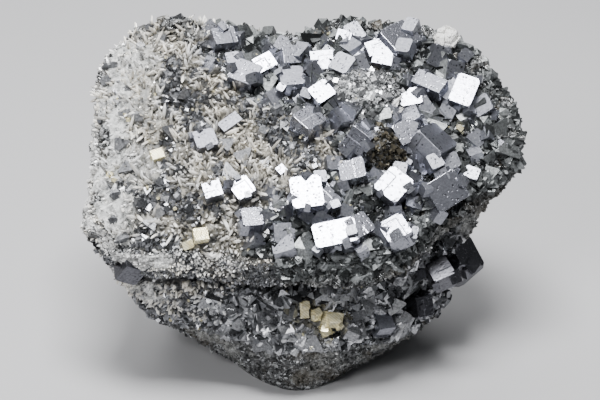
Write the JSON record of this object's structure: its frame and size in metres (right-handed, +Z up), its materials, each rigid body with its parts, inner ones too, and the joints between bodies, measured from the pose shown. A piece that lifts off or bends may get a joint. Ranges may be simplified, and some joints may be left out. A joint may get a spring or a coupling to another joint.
{
  "type": "galena specimen",
  "caption": "Mineral specimen: cubic galena crystals with quartz, sphalerite and pyrite on a broken slab of dark sulphide rock that narrows to a flat broken foot.",
  "frame": {"origin": "middle of the flat broken foot that the specimen rests on", "axes": "+X to the specimen's right along its length, +Y to its back, +Z up from the resting face"},
  "size_m": [0.167, 0.0886, 0.1248],
  "materials": {
    "sulphide_rock": "dark grey granular massive sulphide rock, matt with small bright cleavage facets",
    "quartz": "colourless to milky quartz prisms, glassy, clear at the tips and cloudy at the base",
    "sphalerite": "dark grey-green sphalerite and small galena crystals, glossy to half metallic",
    "galena": "bluish lead-grey metallic crystal faces, mirror bright to satin, with growth steps and pits",
    "pyrite": "pale brassy metallic crystals with fine parallel striations"
  },
  "bodies": {
    "root": {"cavity_crust": "sphalerite", "galena_broad_face": "galena", "galena_centre_cube": "galena", "galena_centre_flash": "galena", "galena_centre_low": "galena", "galena_east_blade": "galena", "galena_east_flash": "galena", "galena_far_left_flash": "galena", "galena_flank_left": "galena", "galena_flank_low": "galena", "galena_flank_middle": "galena", "galena_flank_right": "galena", "galena_front_block": "galena", "galena_front_cluster": "galena", "galena_front_left": "galena", "galena_front_right": "galena", "galena_left_flash": "galena", "galena_pitted_plate": "galena", "galena_ridge_cube": "galena", "galena_ridge_small": "galena", "galena_right_cluster": "galena", "galena_tier_cube": "galena", "galena_tiny_flash": "galena", "galena_top_cluster": "galena", "galena_top_flash": "galena", "galena_top_left": "galena", "galena_upper_cluster": "galena", "galena_upper_cube": "galena", "galena_upper_right": "galena", "galena_upper_small": "galena", "galena_west_blade": "galena", "galena_west_cube": "galena", "host_rock": "sulphide_rock", "pyrite_front_left": "pyrite", "pyrite_middle": "pyrite", "pyrite_striated": "pyrite", "pyrite_tall": "pyrite", "pyrite_west": "pyrite", "quartz_druse": "quartz", "quartz_druse_lower": "quartz", "quartz_knob": "quartz", "sphalerite_crust": "sphalerite"}
  },
  "joints": []
}
